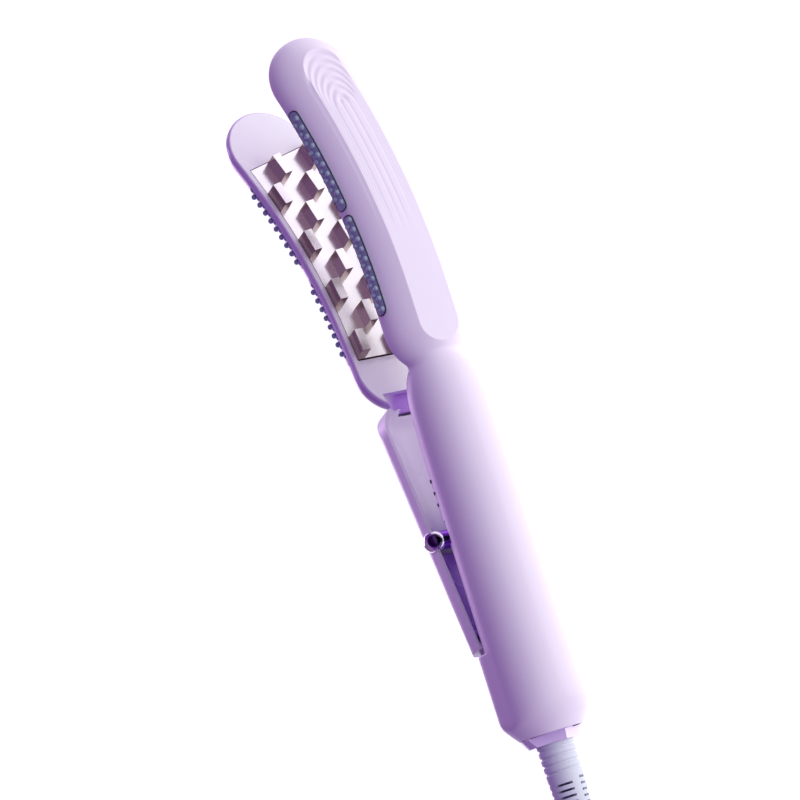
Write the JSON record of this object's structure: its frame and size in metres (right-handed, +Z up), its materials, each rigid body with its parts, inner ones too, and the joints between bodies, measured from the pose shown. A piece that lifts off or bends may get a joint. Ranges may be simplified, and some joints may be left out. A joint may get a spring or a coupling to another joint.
{
  "type": "hair crimper",
  "caption": "Spring-open hair crimper lying on its side: round handle, curved heads with blocked heated plates, silicone bead strips, lever arm and sliding lock pin.",
  "frame": {"origin": "on the flat that the tool lies on, under the thick cord end of the handle and below the hinge", "axes": "+X along the handle towards the heads' tips, +Y from the handle arm towards the lever arm, +Z up, along the hinge axis, the side to which the heads curve"},
  "size_m": [0.4119, 0.0974, 0.0399],
  "materials": {
    "lilac_shell": "satin soft-touch",
    "lilac_button": "satin",
    "plate_metal": "polished",
    "dark_plastic": "matte, heat resistant",
    "heater": "ceramic",
    "silicone": "soft, slightly clear",
    "steel": "plated",
    "brass": "turned",
    "lens": "clear",
    "board": "printed circuit",
    "wire": "silicone insulated",
    "plated": "mirror",
    "cord_grey": "matte",
    "tie": "woven hook and loop"
  },
  "bodies": {
    "handle_arm": {"main_shell": "lilac_shell", "main_face": "lilac_shell", "main_plate": "plate_metal", "main_plate_carrier": "dark_plastic", "main_heater": "heater", "main_bead_strip_tip": "silicone", "main_bead_strip_neck": "silicone", "handle_cover": "lilac_shell", "cover_screws": "steel", "indicator_lenses": "lens", "control_board": "board", "button_switch": "dark_plastic", "thermal_fuse": "heater", "heater_wires": "wire", "hinge_pin": "steel", "return_spring": "steel", "lock_catch": "steel", "end_bezel": "plated", "cord_clamp": "dark_plastic", "cord_boot": "cord_grey", "boot_flange": "cord_grey", "cord_lead": "cord_grey", "cord_coil": "cord_grey", "cord_tie": "tie", "plug_body": "cord_grey", "plug_pins": "steel"},
    "lever_arm": {"arm_back": "lilac_shell", "arm_face": "lilac_shell", "arm_plate": "plate_metal", "arm_plate_carrier": "dark_plastic", "arm_heater": "heater", "arm_bead_strip_tip": "silicone", "arm_bead_strip_neck": "silicone", "lever_liner": "lilac_shell", "arm_wires": "wire", "hinge_bushes": "brass", "arm_screws": "steel"},
    "lock_bolt": {"lock_bolt": "plated"},
    "power_button": {"power_button": "lilac_button"}
  },
  "joints": [
    {"name": "lever_hinge", "type": "hinge", "parent": "handle_arm", "child": "lever_arm", "pos_m": [0, 0.0083, 0.0132], "axis": [0, 0, 1], "range_deg": [-10.8, 0], "stiffness_Nm_per_rad": 0.6, "springref_deg": 20.05, "deforming": ["return_spring"]},
    {"name": "lock_slide", "type": "slide", "parent": "lever_arm", "child": "lock_bolt", "axis": [0, 0, -1], "range_m": [0, 0.0032]},
    {"name": "power_press", "type": "slide", "parent": "handle_arm", "child": "power_button", "axis": [0, -1, 0], "range_m": [0, 0.0008], "stiffness_N_per_m": 600}
  ]
}
